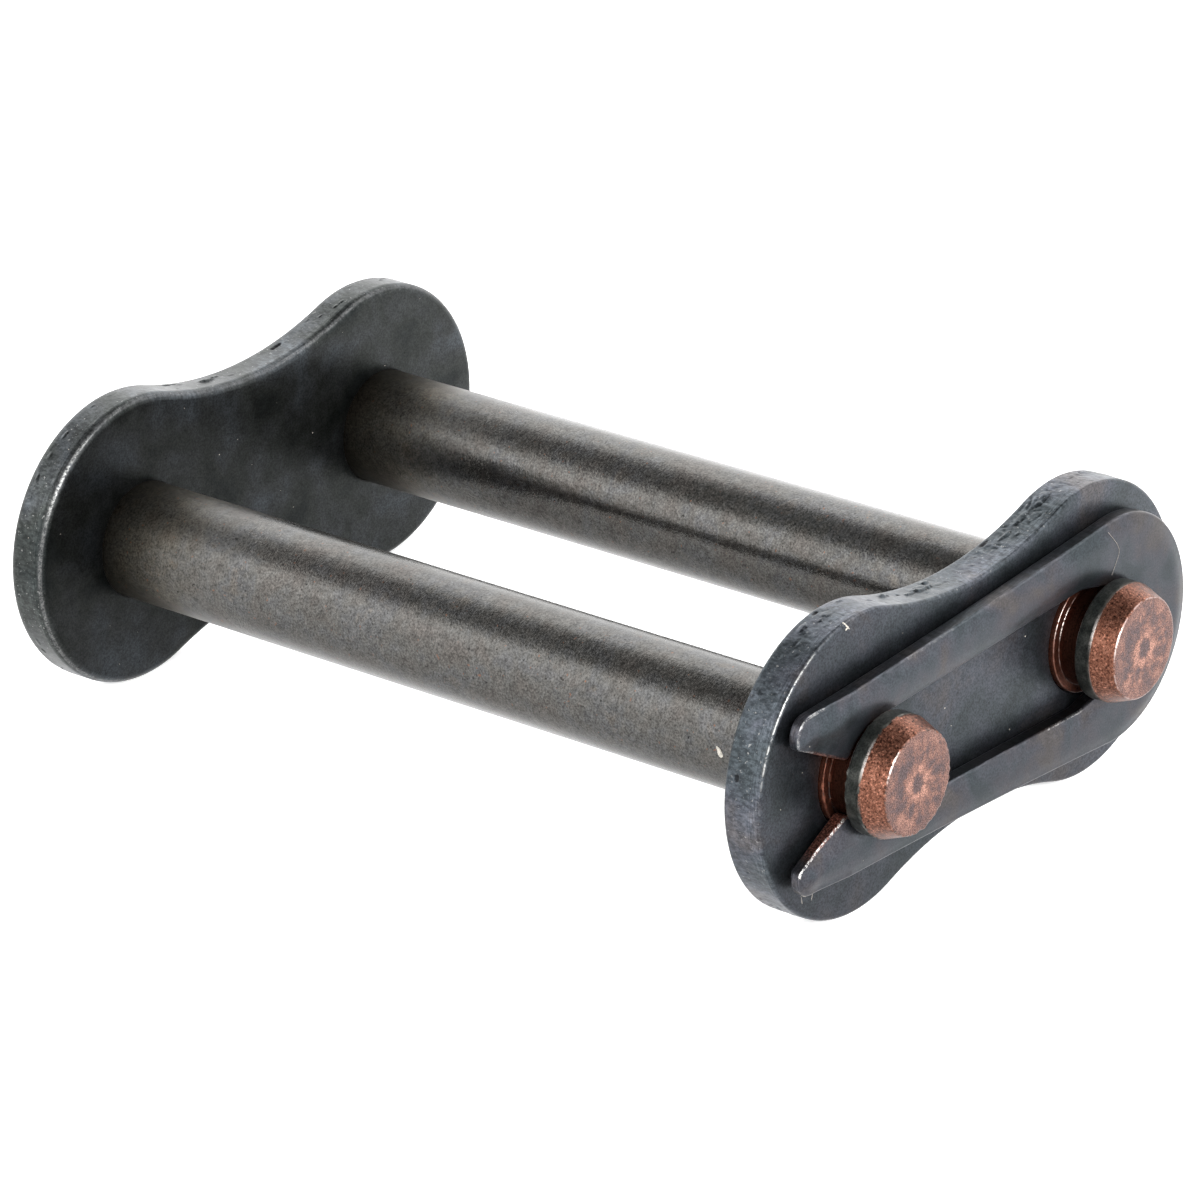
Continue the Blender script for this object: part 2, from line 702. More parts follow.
def store(geometry, name, value, kind="FLOAT", domain="POINT"):
    """Geometry that carries a value under a name."""
    feeds = {"Geometry": geometry, "Name": name, "Value": value}
    return add_node("GeometryNodeStoreNamedAttribute", feeds, data_type=kind, domain=domain)


def vector_of(x, y, z=0.0):
    return add_node("ShaderNodeCombineXYZ", {"X": x, "Y": y, "Z": z})


def kept_between(value, low, high):
    return maths("MINIMUM", maths("MAXIMUM", value, low), high)


def turned_tree():
    """Turns a half section about a pin's axis, and roughs the surface a little, though not past its ends."""
    tree, inputs = open_tree(
        "turn_pin",
        {
            "Geometry": ("Section",), "Int": ("Steps round",), "Material": ("Finish",),
            "Float": (
                "Axis X", "Axis height", "Ripple", "Ragged edge", "Near end", "Far end", "Worn towards",
                "Worn spread", "Ridge shine", "Seed",
            ),
        },
        "Pin",
    )
    section = inputs["Section"]
    rows = add_node("GeometryNodeAttributeDomainSize", {"Geometry": section})["Point Count"]
    columns = inputs["Steps round"] + 1.0
    grid = add_node("GeometryNodeMeshGrid", {"Vertices X": columns, "Vertices Y": rows})["Mesh"]
    index = add_node("GeometryNodeInputIndex", tree=tree)
    row = maths("MODULO", index, rows)
    column = maths("FLOOR", (index + 0.5) / rows)
    turn = column * (2 * pi / inputs["Steps round"])
    position = add_node("GeometryNodeInputPosition", tree=tree)
    edge_here = add_node("GeometryNodeInputNamedAttribute", {"Name": "edge"}, tree, data_type="FLOAT")
    from_row = {"Geometry": section, "Index": row}
    spot = add_node("GeometryNodeSampleIndex", {**from_row, "Value": position}, data_type="FLOAT_VECTOR")
    edge = add_node("GeometryNodeSampleIndex", {**from_row, "Value": edge_here}, data_type="FLOAT")
    parts = axes(spot)
    spoke = vector_of(maths("COSINE", turn), maths("SINE", turn))
    across = parts["X"] * maths("COSINE", turn) + inputs["Axis X"]
    upward = parts["X"] * maths("SINE", turn) + inputs["Axis height"]
    place = vector_of(across, parts["Y"], upward)
    kept = add_node("GeometryNodeSetPosition", {"Geometry": grid, "Position": place})
    kept = store(kept, "edge", edge)
    kept = store(kept, "turned", spot, "FLOAT_VECTOR")
    kept = store(kept, "spoke", spoke, "FLOAT_VECTOR")
    aside = maths("COSINE", turn - inputs["Worn towards"])
    worn = (aside - maths("COSINE", inputs["Worn spread"])) / worn_fade
    kept = store(kept, "worn", kept_between(worn, 0.0, 1.0))
    kept = store(kept, "shine", inputs["Ridge shine"])
    closed = add_node("GeometryNodeMergeByDistance", {"Geometry": kept, "Distance": pin_seam})
    normal = add_node("GeometryNodeInputNormal", tree=tree)
    moved_on = add_node("ShaderNodeVectorMath", {0: position, 1: inputs["Seed"]}, operation="ADD")
    ripple = grain(moved_on, ripple_size, 3, 0.6) - 0.5
    ragged = grain(moved_on, ripple_size / 2, 2, 0.6) - 0.5
    lift = ragged * edge_here * inputs["Ragged edge"] + ripple * inputs["Ripple"]
    offset = add_node("ShaderNodeVectorMath", {0: normal, "Scale": lift}, operation="SCALE")
    roughed = add_node("GeometryNodeSetPosition", {"Geometry": closed, "Offset": offset})
    parts = axes(position)
    place = vector_of(parts["X"], kept_between(parts["Y"], inputs["Near end"], inputs["Far end"]), parts["Z"])
    roughed = add_node("GeometryNodeSetPosition", {"Geometry": roughed, "Position": place})
    smooth = add_node("GeometryNodeSetShadeSmooth", {"Geometry": roughed})
    return close_tree(tree, smooth, inputs["Finish"], "Pin")


def bake(thing, tree, **values):
    """Gives a thing a tree with its inputs set, and keeps what it makes as the thing's own plain mesh."""
    modifier = thing.modifiers.new(tree.name, "NODES")
    modifier.node_group = tree
    for socket in tree.interface.items_tree:
        key = socket.name.replace(" ", "_")
        if key in values:
            modifier[socket.identifier] = values[key]
    depsgraph = bpy.context.evaluated_depsgraph_get()
    made = bpy.data.meshes.new_from_object(
        thing.evaluated_get(depsgraph), preserve_all_data_layers=True, depsgraph=depsgraph
    )
    thing.modifiers.clear()
    thing.data = made
    return made


def shaft_steel():
    """Furnace grey on a turned shaft: brown and blue clouds under close, even speckle and a few pits. It is
    duller near the back plate, where soot from the furnace stayed on."""
    made, shader, place = new_finish("mottled_pin_steel", Metallic=0.9, Specular_IOR_Level=0.0)
    along = axes(marked(place, "turned", "Vector"))["Y"]
    blots = grain(place, 0.6 * mm, 4, 0.65)
    specks = grain(place, 0.15 * mm, 2, 0.6)
    rings = grain(along, 0.1 * mm, 2, 0.5)
    colour = grade(
        grain(place, 2.6 * mm, 4, 0.6, 0.3),
        (0.36, (0.070, 0.065, 0.060)), (0.5, (0.073, 0.071, 0.067)),
        (0.6, (0.070, 0.070, 0.070)), (0.7, (0.080, 0.074, 0.067)),
    )
    colour = shaded(colour, blots, (0.3, 0.70), (0.5, 1.0), (0.7, 1.2))
    colour = shaded(colour, specks, (0.28, 0.56), (0.5, 0.98), (0.74, 1.42))
    colour = shaded(colour, grain(place, 0.26 * mm, 2, 0.5), (0.27, 0.35), (0.33, 1.0))
    rust = grade(grain(place, 0.32 * mm, 1, 0.5), (0.73, 0.0), (0.78, 0.7))
    colour = blend(rust, colour, (0.14, 0.07, 0.045, 1))
    sooty = within(along, back_high.y, back_high.y + soot_reach)
    colour = shaded(
        colour, sooty,
        (0.0, (0.21, 0.195, 0.165)), (0.14, (0.49, 0.465, 0.40)), (0.4, (1.09, 1.04, 0.94)),
        (0.65, 1.06), (1.0, 1.02),
    )
    gloss = grade(specks, (0.3, 0.17), (0.7, 0.26)) + grade(sooty, (0.0, 0.35), (1.0, 0.0))
    coat(shader, colour, gloss, blots * 1.5 + (rings * 0.35 + specks), 0.008 * mm, 0.9)
    return made


def copper_wash():
    """Copper wash and scale on a pin's turned end: brown and gritty on the taper, and on the face pale
    pink petals round a dark middle, with mauve scale between."""
    made, shader, place = new_finish("copper_washed_end", Metallic=0.9, Specular_IOR_Level=0.0)
    spot = axes(marked(place, "turned", "Vector"))
    spoke = axes(marked(place, "spoke", "Vector"))
    edge = marked(place, "edge")
    shine = marked(place, "shine")
    blots = grain(place, 0.7 * mm, 4, 0.65, 0.4)
    specks = grain(place, 0.14 * mm, 3, 0.7)

    petals = grain(vector_of(spoke["X"] * 2.5, spoke["Y"] * 2.5, spot["X"] * petal_pace), 1.0, 3, 0.6, 0.5)
    middle = grade(spot["X"] / tip_radius, (0.14, 0.0), (0.24, 0.16), (0.4, 0.04), (0.55, 0.0), (0.8, 0.04))
    face = grade(
        blots * 0.5 + petals * 0.5 + middle,
        (0.42, (0.080, 0.056, 0.057)), (0.50, (0.122, 0.072, 0.064)),
        (0.56, (0.183, 0.095, 0.075)), (0.65, (0.32, 0.168, 0.128)),
    )
    near_axis = (blots - 0.5) * (0.5 * mm) + spot["X"]
    centre = grade(near_axis / tip_radius, (0.10, 0.85), (0.20, 0.0))
    face = blend(centre, face, (0.078, 0.055, 0.056, 1))
    border = (blots - 0.5) * (1.4 * mm) + spot["X"]
    outer = grade(border / tip_radius, (0.72, 0.0), (0.95, 0.7))
    face = blend(outer, face, (0.145, 0.082, 0.070, 1))
    face = shaded(face, grain(place, 0.1 * mm, 2, 0.6), (0.40, 0.5), (0.5, 0.95), (0.60, 1.5))
    taper = grade(
        grain(place, 0.3 * mm, 4, 0.75),
        (0.34, (0.09, 0.037, 0.024)), (0.5, (0.14, 0.058, 0.038)), (0.66, (0.22, 0.10, 0.068)),
    )
    taper = shaded(taper, specks, (0.36, 0.15), (0.45, 0.82), (0.58, 1.02), (0.7, 3.2))
    colour = blend(maths("GREATER_THAN", spot["Y"], pin_tip - 0.02 * mm), taper, face)

    groove = maths("LESS_THAN", spot["Y"], land_end - 0.2 * mm)
    lines = grain(spot["X"] * 1.7 + spot["Y"], 0.09 * mm, 1, 0.5)
    red = shaded((0.135, 0.05, 0.032, 1), lines, (0.3, 0.55), (0.7, 1.2))
    red = shaded(red, specks, (0.3, 0.6), (0.7, 1.4))
    deep = (spot["X"] - neck_radius) / (pin_radius - neck_radius)
    red = shaded(red, deep, (0.05, 0.35), (0.3, 1.0))
    colour = blend(groove, colour, red)

    chewed = grade(grain(place, 0.32 * mm, 2, 0.6), (0.40, 0.85), (0.47, 0.0))
    dulled = 1.2 - shine
    colour = blend(chewed * edge * dulled, colour, (0.022, 0.02, 0.019, 1))
    ridge = grade(edge, (0.6, 0.0), (0.98, 0.9))
    ridge = ridge * grade(grain(place, 0.5 * mm, 4, 0.7), (0.43, 0.05), (0.55, 1.0))
    ridge = ridge * (1.0 - groove * 0.6)
    colour = blend(ridge * shine, colour, (0.32, 0.24, 0.22, 1))
    broken = grade(grain(place, 0.26 * mm, 4, 0.75), (0.42, 0.0), (0.5, 1.0))
    worn = grade(edge, (0.5, 0.0), (0.9, 1.0)) * marked(place, "worn") * broken
    worn = worn * (1.0 - groove * dulled)
    colour = blend(worn, colour, (0.62, 0.54, 0.50, 1))
    gloss = blend(worn, grade(specks, (0.3, 0.26), (0.7, 0.42)), (0.18, 0.18, 0.18, 1))
    coat(shader, colour, gloss, blots * 2.0 + specks, 0.014 * mm, 1.0)
    return made


def ground_land():
    """The land is ground smooth and oxidised to a green black, and its front edge is worn on one side."""
    made, shader, place = new_finish("ground_pin_land", Metallic=0.85, Specular_IOR_Level=0.0)
    edge = marked(place, "edge")
    clouds = grain(place, 1.1 * mm, 4, 0.6)
    specks = grain(place, 0.13 * mm, 2, 0.6)
    colour = grade(
        clouds, (0.38, (0.034, 0.037, 0.034)), (0.5, (0.047, 0.050, 0.046)), (0.62, (0.072, 0.074, 0.068))
    )
    colour = shaded(colour, specks, (0.3, 0.6), (0.7, 1.45))
    ridge = edge * grade(clouds, (0.42, 0.1), (0.56, 0.8))
    colour = blend(ridge, colour, (0.13, 0.115, 0.1, 1))
    broken = grade(grain(place, 0.3 * mm, 4, 0.7), (0.4, 0.0), (0.5, 1.0))
    worn = grade(edge, (0.4, 0.0), (0.85, 1.0)) * marked(place, "worn") * broken
    colour = blend(worn, colour, (0.45, 0.42, 0.40, 1))
    gloss = grade(clouds, (0.3, 0.32), (0.7, 0.46))
    coat(shader, colour, gloss, specks, 0.004 * mm, 0.7)
    return made


turn_pin = turned_tree()
pin_finishes = shaft_steel(), copper_wash(), ground_land()
for pin_name, side, ragged_edge, worn_towards, shine, seed in (
    ("bow_pin", -1, 0.04 * mm, radians(30), 1.0, 3.0), ("mouth_pin", 1, 0.26 * mm, radians(38), 0.2, 8.0),
):
    section = pin_section()
    profile = bpy.data.meshes.new(pin_name + "_section")
    chain = [(i, i + 1) for i in range(len(section) - 1)]
    profile.from_pydata([(spot.y, spot.x, 0) for spot, edge in section], chain, [])
    mark_points(profile, "edge", [edge for spot, edge in section])
    pin = show(pin_name + "_turned", profile)
    turned = bake(
        pin, turn_pin, Steps_round=pin_turns, Axis_X=side * half_pitch, Axis_height=axis_height,
        Ripple=ripple_depth, Ragged_edge=ragged_edge, Near_end=rivet_end, Far_end=pin_tip,
        Worn_towards=worn_towards, Worn_spread=worn_spread, Ridge_shine=shine,
        Seed=seed, Finish=pin_finishes[0],
    )
    turned.materials.clear()
    for finish in pin_finishes:
        turned.materials.append(finish)
    for polygon in turned.polygons:
        on_land = groove_end - 0.01 * mm < polygon.center.y < land_end
        outside = polygon.center.y > cover_high.y - 0.1 * mm
        polygon.material_index = 2 if on_land else int(outside)
    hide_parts(pin_name)
    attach(pin, "pin_link")


# Cover plate: the back plate's twin, with holes a slip fit on the pins, so that it comes off by hand.
# It is pushed on over the tapers and lies just inside the clip. Its front edges are worn bright.
slip_clearance = 0.05 * mm
cover_edge_round = 0.28 * mm
cover_hole_round = 0.2 * mm
cover_tear = 1.0
cover_seed = 4.0
cover_small_scabs = 55
cover_worn = (21.5, 32.2, 0.8), (29.0, 37.0, 0.07)
cover_torn = (22.0, 37.0, 0.05), (49.0, 66.0, 0.75), (64.0, 116.0, 0.6)
cover_scabs = (
    (45.5, 1.0, 1.05, 0.5, 0.14), (44.0, 1.3, 0.6, 0.24, 0.1), (46.6, 0.4, 0.45, 0.3, 0.11),
    (41.7, 0.75, 0.55, 0.25, 0.11), (43.0, 1.0, 0.16, 0.14, -0.08), (36.2, 0.5, 0.7, 0.3, 0.12),
    (37.3, 0.3, 0.4, 0.16, 0.08), (34.9, 0.2, 0.3, 0.2, -0.1), (35.3, 1.3, 0.5, 0.16, 0.07),
    (33.2, 0.5, 0.5, 0.35, 0.11), (34.4, 1.2, 0.3, 0.16, 0.05), (53.5, 0.15, 0.5, 0.2, -0.09),
    (54.9, 1.0, 0.8, 0.16, 0.07), (57.0, 0.8, 1.1, 0.3, 0.07), (59.3, 0.9, 1.0, 0.55, 0.08),
    (62.7, 0.7, 0.7, 0.3, 0.09), (22.2, 0.8, 0.25, 0.22, -0.1),
)
cover_thickness = cover_high.y - cover_low.y
cover_mesh = punched_mesh(
    "cover_plate_blank", cover_low.y, cover_high.y, cover_edge_round, cover_hole_round,
    pin_radius + slip_clearance,
    torn_rim(cover_seed, cover_tear, cover_torn, cover_scabs, cover_small_scabs, cover_thickness), cover_worn,
)
cover_mesh.materials.append(oxide_steel(
    "blue_black_oxide",
    (
        (0.36, (0.033, 0.039, 0.043)), (0.46, (0.042, 0.048, 0.055)),
        (0.55, (0.049, 0.053, 0.063)), (0.66, (0.060, 0.057, 0.060)),
    ),
    metal_share=0.86, rim_shade=1.2, rubbed_share=0.15, line_lost=0.42, break_size=0.75 * mm,
    thickness=cover_thickness,
))
cover_plate = show("cover_plate_punched", cover_mesh)
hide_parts("cover_plate")
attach(cover_plate, "cover")


# Spring clip: blanked from spring strip and hardened. The bow goes round one pin, the legs run along
# both sides, and the tips snap over the other pin. It sits in the pins' grooves, against the cover plate.
clip_low, clip_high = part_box("spring_clip")
clip_bow_radius = 8.125 * mm
clip_bow_x = clip_low.x + clip_bow_radius
clip_leg_top = 6.2 * mm
clip_leg_hollow = 0.2 * mm
clip_mouth_top = clip_leg_top - 1.9 * mm
clip_mouth_slope = radians(27)
clip_seat_radius = 3.6 * mm
clip_slot_x = -9.9 * mm
clip_slot_top = pin_radius + 0.2 * mm
clip_slot_round = 1.0 * mm
clip_tip_rounds = 1.3 * mm, 0.5 * mm
clip_throat_round = 0.5 * mm
clip_edge_round = 0.24 * mm
clip_rim_step = 0.1 * mm
clip_rim_rows = 12
clip_face_step = 0.3 * mm
clip_tip_roll = 0.5 * mm
clip_roll = 0.2 * mm
clip_roll_reach = 1.2 * mm


def touch_angle(point, centre, radius, side):
    """Angle, in degrees, where a line from a point touches a circle."""
    arm = point - centre
    return (atan2(arm.y, arm.x) + side * acos(radius / arm.length)) * 180 / pi


def clip_half():
    """Upper half of the clip's outline: bow, leg, tip, mouth, grip, slot and the bow's seat."""
    tip_x = clip_high.x
    leg_end = Vector((tip_x, clip_leg_top))
    bow_centre = Vector((clip_bow_x, 0))
    leg_turn = 4 * clip_leg_hollow / (tip_x - clip_bow_x) * 180 / pi
    leg_start = touch_angle(leg_end, bow_centre, clip_bow_radius, 1) - leg_turn
    bow = arc(clip_bow_x, 0, clip_bow_radius, 180, leg_start - 180)
    chord = leg_end - bow[-1]
    inward = Vector((chord.y, -chord.x)).normalized() * clip_leg_hollow
    leg = [bow[-1] + chord * s / 40 + inward * 4 * (s / 40) * (1 - s / 40) for s in range(1, 38)]

    grip_centre = Vector((half_pitch, 0))
    mouth_start = Vector((tip_x, clip_mouth_top))
    mouth_way = Vector((-cos(clip_mouth_slope), -sin(clip_mouth_slope)))
    mouth_away = Vector((-sin(clip_mouth_slope), cos(clip_mouth_slope)))
    round_start = mouth_start + mouth_away * clip_throat_round - grip_centre
    reach = clip_seat_radius + clip_throat_round
    along = round_start.dot(mouth_way)
    run = -along - sqrt(along**2 - round_start.length_squared + reach**2)
    round_centre = grip_centre + round_start + mouth_way * run
    mouth_end = round_centre - mouth_away * clip_throat_round
    grip_start = round_centre - grip_centre
    from_angle = atan2(-mouth_away.y, -mouth_away.x) * 180 / pi
    to_angle = atan2(-grip_start.y, -grip_start.x) * 180 / pi
    throat = arc(round_centre.x, round_centre.y, clip_throat_round, from_angle, to_angle - from_angle)
    tip_outer = [point for point, edge in ease(leg[-1], leg_end, mouth_start, clip_tip_rounds[0])]
    tip_inner = [point for point, edge in ease(leg_end, mouth_start, mouth_end, clip_tip_rounds[1])]

    slot_corner = Vector((clip_slot_x, clip_slot_top))
    grip_end = touch_angle(slot_corner, grip_centre, clip_seat_radius, -1)
    grip_angle = atan2(grip_start.y, grip_start.x) * 180 / pi
    grip = arc(half_pitch, 0, clip_seat_radius, grip_angle, grip_end - grip_angle)
    seat_centre = Vector((-half_pitch, 0))
    seat_start = touch_angle(slot_corner, seat_centre, clip_seat_radius, 1)
    seat = arc(-half_pitch, 0, clip_seat_radius, seat_start, 180 - seat_start)
    slot = [point for point, edge in ease(grip[-1], slot_corner, seat[0], clip_slot_round)]
    return bow + leg + tip_outer + tip_inner + throat + grip + slot + seat


def clip_outline():
    upper = clip_half()
    lower = [Vector((point.x, -point.y)) for point in reversed(upper[1:-1])]
    return (upper + lower)[::-1]


def clip_rim(gone, share, point):
    """Fine shear lines across the clip's rim. Soot stays on the walls of its slot, and less of it outside."""
    place = gone / mm
    lines = noise.noise(Vector((place * 3.2, share * 0.5, 2.0)))
    in_slot = abs(point.y) < clip_slot_top + 0.1 * mm and clip_slot_x - mm < point.x < half_pitch - 3 * mm
    outside = abs(point.y) > 5 * mm and point.x < 19 * mm
    return 0.01 * mm * lines - 0.005 * mm, 0.75 * in_slot + 0.5 * outside * (1 + 0.8 * lines)


def clip_roll_at(point, depth):
    """How far the front face is drawn down near the outline. The tips are drawn down most."""
    near_tip = max(0.0, min(1.0, (point.x - clip_high.x + 5 * mm) / (3 * mm)))
    deep = clip_roll + (clip_tip_roll - clip_roll) * near_tip
    return deep * max(0.0, 1 - depth / (clip_roll_reach * (1 + near_tip))) ** 2


def clip_wear(gone, share, point):
    """The clip's front edge is worn on the mouth side of its lower tip, on the slot's lower corner, and in
    torn fibres on the upper leg. Copper from the pin is rubbed onto the mouth, most at the throat."""
    x, z = point.x / mm, point.y / mm
    in_mouth = abs(z) < clip_mouth_top / mm + 0.3 and x > half_pitch / mm + 2.5
    fibres = z > 5 and 4.5 < x < 9.5
    slot_corner = -5 < z < 0 and -10.2 < x < -6
    upper_tip = z > 3.5 and x > 18
    worn = 0.9 * (in_mouth and z < 0) + 0.06 * fibres + 0.3 * slot_corner + 0.3 * upper_tip
    copper = max(0.0, min(1.0, (clip_high.x / mm - 0.8 - x) / 1.2)) * in_mouth
    return worn * (share > 0.5), copper


def spring_steel():
    """Hardened strip, grey with a trace of purple, its rims lined by the blanking punch."""
    made, shader, place = new_finish("grey_spring_steel", Metallic=0.86, Specular_IOR_Level=0.0)
    patches = grain(place, 0.9 * mm, 4, 0.6)
    specks = grain(place, 0.13 * mm, 2, 0.6)
    lines = grain(stretched(marked(place, "along", "Vector"), 0.12, 1.0), 0.12 * mm, 3, 0.6)
    rim = marked(place, "rim")
    edge = marked(place, "edge")
    colour = grade(
        grain(place, 4 * mm, 4, 0.55, 0.4),
        (0.36, (0.034, 0.041, 0.046)), (0.46, (0.045, 0.050, 0.058)),
        (0.54, (0.051, 0.051, 0.059)), (0.64, (0.060, 0.055, 0.055)),
    )
    colour = shaded(colour, patches, (0.3, 0.84), (0.7, 1.08))
    colour = shaded(colour, specks, (0.3, 0.7), (0.7, 1.22))
    handled = within(axes(place)["X"], clip_low.x, clip_high.x)
    colour = shaded(colour, handled, (0.0, 0.88), (0.35, 1.0), (1.0, 1.06))
    colour = blend(rim, colour, shaded(colour, lines, (0.38, 0.55), (0.62, 1.45)))
    copper = shaded((0.15, 0.065, 0.048, 1), specks, (0.36, 0.3), (0.5, 0.9), (0.66, 2.4))
    colour = blend(marked(place, "coppered") * rim, colour, copper)
    colour = blend(marked(place, "pocket"), colour, (0.008, 0.008, 0.008, 1))
    rubbed = grade(edge, (0.7, 0.0), (0.98, 0.2)) * patches
    colour = blend(rubbed, colour, (0.15, 0.15, 0.155, 1))
    broken = grade(grain(place, 0.4 * mm, 6, 0.9), (0.49, 0.0), (0.53, 1.0))
    worn = grade(edge, (0.35, 0.0), (0.8, 1.0)) * marked(place, "worn") * broken
    colour = blend(worn, colour, (0.66, 0.65, 0.63, 1))
    gloss = blend(worn, grade(patches, (0.3, 0.29), (0.7, 0.37)), (0.2, 0.2, 0.2, 1))
    coat(shader, colour, gloss, lines * rim + specks, 0.005 * mm, 0.8)
    return made


clip_mesh = blanked_mesh(
    "spring_clip_blank", [clip_outline()], clip_low.y, clip_high.y, (clip_edge_round,),
    clip_rim_step, clip_rim_rows, clip_face_step, clip_rim, clip_wear, clip_roll_at,
)
clip_mesh.materials.append(spring_steel())
spring_clip = show("spring_clip_blanked", clip_mesh)
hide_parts("spring_clip")
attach(spring_clip, "clip")


# Grit from the tumbling drum: small pale and dark chips that cling to every piece. Larger ones lie loose:
# a pale shard on the mouth pin's shaft, a curled one on the cover plate's edge, and a few on its face. A fine
# fibre of lint lies across the clip's bow. The sizes of chips are half lengths.
grit_per_area = 45000.0
grit_smallest = 0.02 * mm
grit_largest = 0.055 * mm
grit_clear = 0.15 * mm
shard_half_size = (0.36 * mm, 0.2 * mm, 0.04 * mm)
shard_place = Vector((half_pitch + pin_radius, 22.66 * mm, axis_height + 0.2 * mm))
curl_half_size = (0.34 * mm, 0.065 * mm, 0.05 * mm)
curl_place = Vector((13.9 * mm, cover_high.y - 0.04 * mm, axis_height + 10.1 * mm))
curl_spacing = Vector((-0.16, 0, -0.16)) * mm
splinter_half_size = (0.26 * mm, 0.024 * mm, 0.02 * mm)
speck_half_size = (0.06 * mm, 0.04 * mm, 0.02 * mm)
pale, dull, dark = 0.9, 0.55, 0.1
# On the cover plate's face, in millimetres along the pitch and above the pins' height, with a turn and a tone
face_splinters = (18.8, -7.2, 0.2, dull), (18.6, -7.0, 1.1, dull), (17.7, -7.35, -0.25, dull)
face_specks = (
    (-1.5, -1.6, 0.3, dark), (-2.3, -0.5, 2.0, dark), (-5.7, 2.2, 1.0, pale), (3.3, 0.4, 0.2, pale),
    (6.6, 2.7, 2.4, pale), (-4.0, -3.9, 0.8, pale),
)
# The lint's places on the clip's face, in millimetres along the pitch and above the pins' height
lint_route = (-12.6, 7.65), (-13.2, 7.0), (-13.8, 6.3), (-13.98, 5.75), (-13.57, 5.1), (-13.1, 4.4)
lint_thickness = 0.03 * mm


def by_chance(tree, least, most, seed):
    """A number drawn for each chip, or a vector where the bounds are vectors."""
    if isinstance(least, tuple):
        feeds = {0: least, 1: most, "Seed": seed}
        return add_node("FunctionNodeRandomValue", feeds, tree, data_type="FLOAT_VECTOR")
    return add_node("FunctionNodeRandomValue", {2: least, 3: most, "Seed": seed}, tree, data_type="FLOAT")[1]


def grit_tree():
    """Scatters small chips over a surface, each turned and sized by chance, and keeps only the chips. None
    lies near the surface's ends, so that none stands past the piece."""
    tree, inputs = open_tree(
        "scatter_grit",
        {
            "Geometry": ("Surface",), "Float": ("Per area", "Smallest", "Largest", "Clear of ends"),
            "Int": ("Seed",), "Material": ("Finish",),
        },
        "Grit",
    )
    ends = add_node("GeometryNodeBoundBox", {"Geometry": inputs["Surface"]})
    place = axes(add_node("GeometryNodeInputPosition", tree=tree))
    low = axes(ends["Min"])
    high = axes(ends["Max"])
    inside = 1.0
    for axis in ("X", "Z"):
        room = maths("MINIMUM", place[axis] - low[axis], high[axis] - place[axis])
        inside = inside * maths("GREATER_THAN", room, inputs["Clear of ends"])
    points = add_node(
        "GeometryNodeDistributePointsOnFaces",
        {
            "Mesh": inputs["Surface"], "Selection": inside, "Density": inputs["Per area"],
            "Seed": inputs["Seed"],
        },
    )
    size = by_chance(tree, inputs["Smallest"], inputs["Largest"], inputs["Seed"])
    flat = by_chance(tree, (0.7, 0.4, 0.3), (1.6, 0.9, 0.6), 5)
    scale = add_node("ShaderNodeVectorMath", {0: flat, "Scale": size}, operation="SCALE")
    spin = by_chance(tree, 0.0, 2 * pi, 9)
    twist = add_node("FunctionNodeAxisAngleToRotation", {"Axis": (0, 0, 1), "Angle": spin})
    turned = add_node("FunctionNodeRotateRotation", {0: points["Rotation"], 1: twist}, rotation_space="LOCAL")
    chip = add_node("GeometryNodeMeshIcoSphere", {"Radius": 1.0, "Subdivisions": 1}, tree)["Mesh"]
    chips = add_node(
        "GeometryNodeInstanceOnPoints",
        {"Points": points["Points"], "Instance": chip, "Rotation": turned, "Scale": scale},
    )
    toned = store(chips, "tone", by_chance(tree, 0.0, 1.0, 3), domain="INSTANCE")
    return close_tree(tree, toned, inputs["Finish"], "Grit")


def grit_stone():
    """Tumbling grit, cream to dark brown by the tone of each chip."""
    made, shader, place = new_finish("tumbling_grit", Roughness=0.6)
    colour = grade(
        marked(place, "tone"),
        (0.0, (0.012, 0.011, 0.01)), (0.42, (0.02, 0.017, 0.015)), (0.5, (0.22, 0.2, 0.18)),
        (1.0, (0.5, 0.47, 0.41)),
    )
    colour = shaded(colour, grain(place, 0.1 * mm), (0.35, 0.6), (0.65, 1.1))
    colour.into(shader.inputs["Base Color"])
    return made


def set_down(name, mesh, body):
    """Puts a chip or a fibre on the body that carries it."""
    mesh.materials.clear()
    mesh.materials.append(grit_finish)
    made = show(name, mesh)
    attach(made, body)


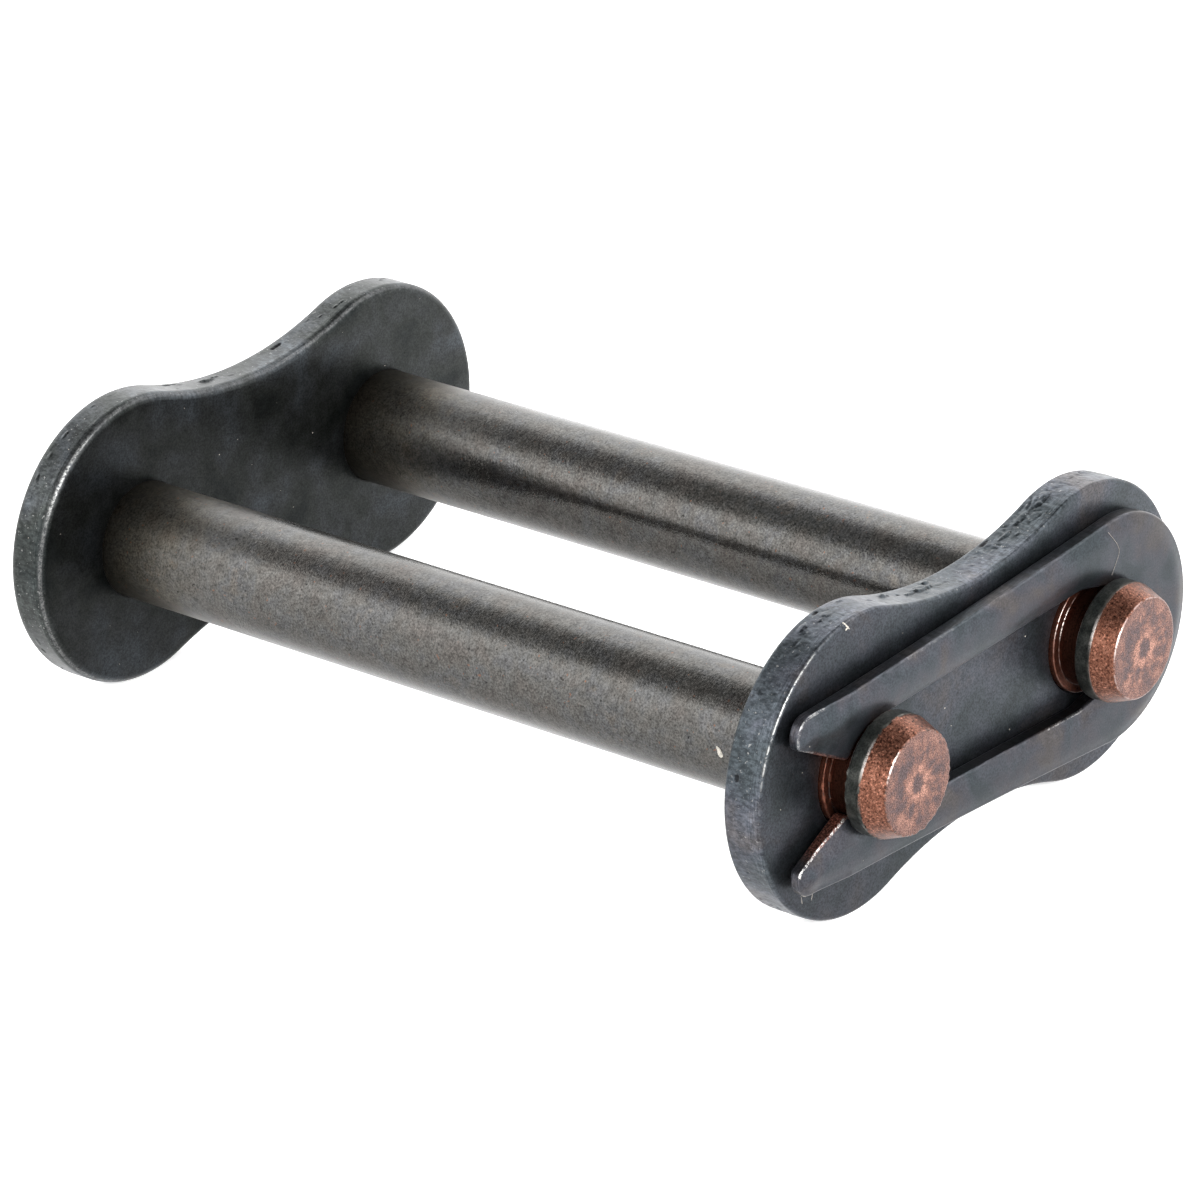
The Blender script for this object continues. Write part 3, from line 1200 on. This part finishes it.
def loose_chips(name, chips, body):
    """Flat, uneven chips on a surface: each has a place, a facing, half sizes, a turn and a tone."""
    ball = bmesh.new()
    bmesh.ops.create_icosphere(ball, subdivisions=3, radius=1.0)
    ball.verts.index_update()
    points, faces, tones = [], [], []
    for place, facing, half_size, turn, tone in chips:
        lay = facing.to_track_quat("Z", "X").to_matrix()
        faces += [[len(points) + corner.index for corner in triangle.verts] for triangle in ball.faces]
        for corner in ball.verts:
            rough = 1 + 0.55 * noise.noise(corner.co * 1.3 + place / mm)
            spot = Vector([rough * value * half for value, half in zip(corner.co, half_size)])
            spot.rotate(lay.Rotation(turn, 3, "Z"))
            points.append(place + lay @ spot)
            tones.append(tone)
    ball.free()
    mesh = bpy.data.meshes.new(name)
    mesh.from_pydata(points, [], faces)
    mark_points(mesh, "tone", tones)
    set_down(name, mesh, body)


def lay_fibre(name, places, thickness, body):
    """A fine fibre through a few places on a surface."""
    line = bpy.data.curves.new(name, "CURVE")
    line.dimensions = "3D"
    line.bevel_depth = thickness / 2
    line.bevel_resolution = 1
    line.use_fill_caps = True
    route = line.splines.new("NURBS")
    route.points.add(len(places) - 1)
    for point, place in zip(route.points, places):
        point.co = (*place, 1)
    route.order_u = 3
    route.use_endpoint_u = True
    drawn = show(name + "_line", line)
    mesh = bpy.data.meshes.new_from_object(drawn.evaluated_get(bpy.context.evaluated_depsgraph_get()))
    bpy.data.objects.remove(drawn)
    mark_points(mesh, "tone", [dull] * len(mesh.vertices))
    set_down(name, mesh, body)


scatter_grit = grit_tree()
grit_finish = grit_stone()
for host, body, slot, seed in (
    (back_plate, "pin_link", "oxide_plate", 11), (cover_plate, "cover", "oxide_plate", 12),
    (spring_clip, "clip", "spring_steel", 13),
):
    grit = show(host.name.split("_")[0] + "_grit", host.data)
    bake(
        grit, scatter_grit, Per_area=grit_per_area, Smallest=grit_smallest, Largest=grit_largest,
        Clear_of_ends=grit_clear, Seed=seed, Finish=grit_finish,
    )
    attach(grit, body)
loose_chips(
    "shaft_shard", [(shard_place, Vector((1, 0, 0.05)), shard_half_size, 0.5, pale)], "pin_link"
)
loose_chips(
    "edge_curl",
    [
        (curl_place + curl_spacing * part, Vector((0, 1, 0.6)), curl_half_size, turn, pale)
        for part, turn in enumerate((0.5, 1.9))
    ],
    "cover",
)
loose_chips(
    "face_chips",
    [
        (Vector((x * mm, cover_high.y, axis_height + z * mm)), Vector((0, 1, 0)), half_size, turn, tone)
        for chips, half_size in ((face_splinters, splinter_half_size), (face_specks, speck_half_size))
        for x, z, turn, tone in chips
    ],
    "cover",
)
lay_fibre(
    "bow_lint", [(x * mm, clip_high.y + lint_thickness / 4, axis_height + z * mm) for x, z in lint_route],
    lint_thickness, "clip",
)
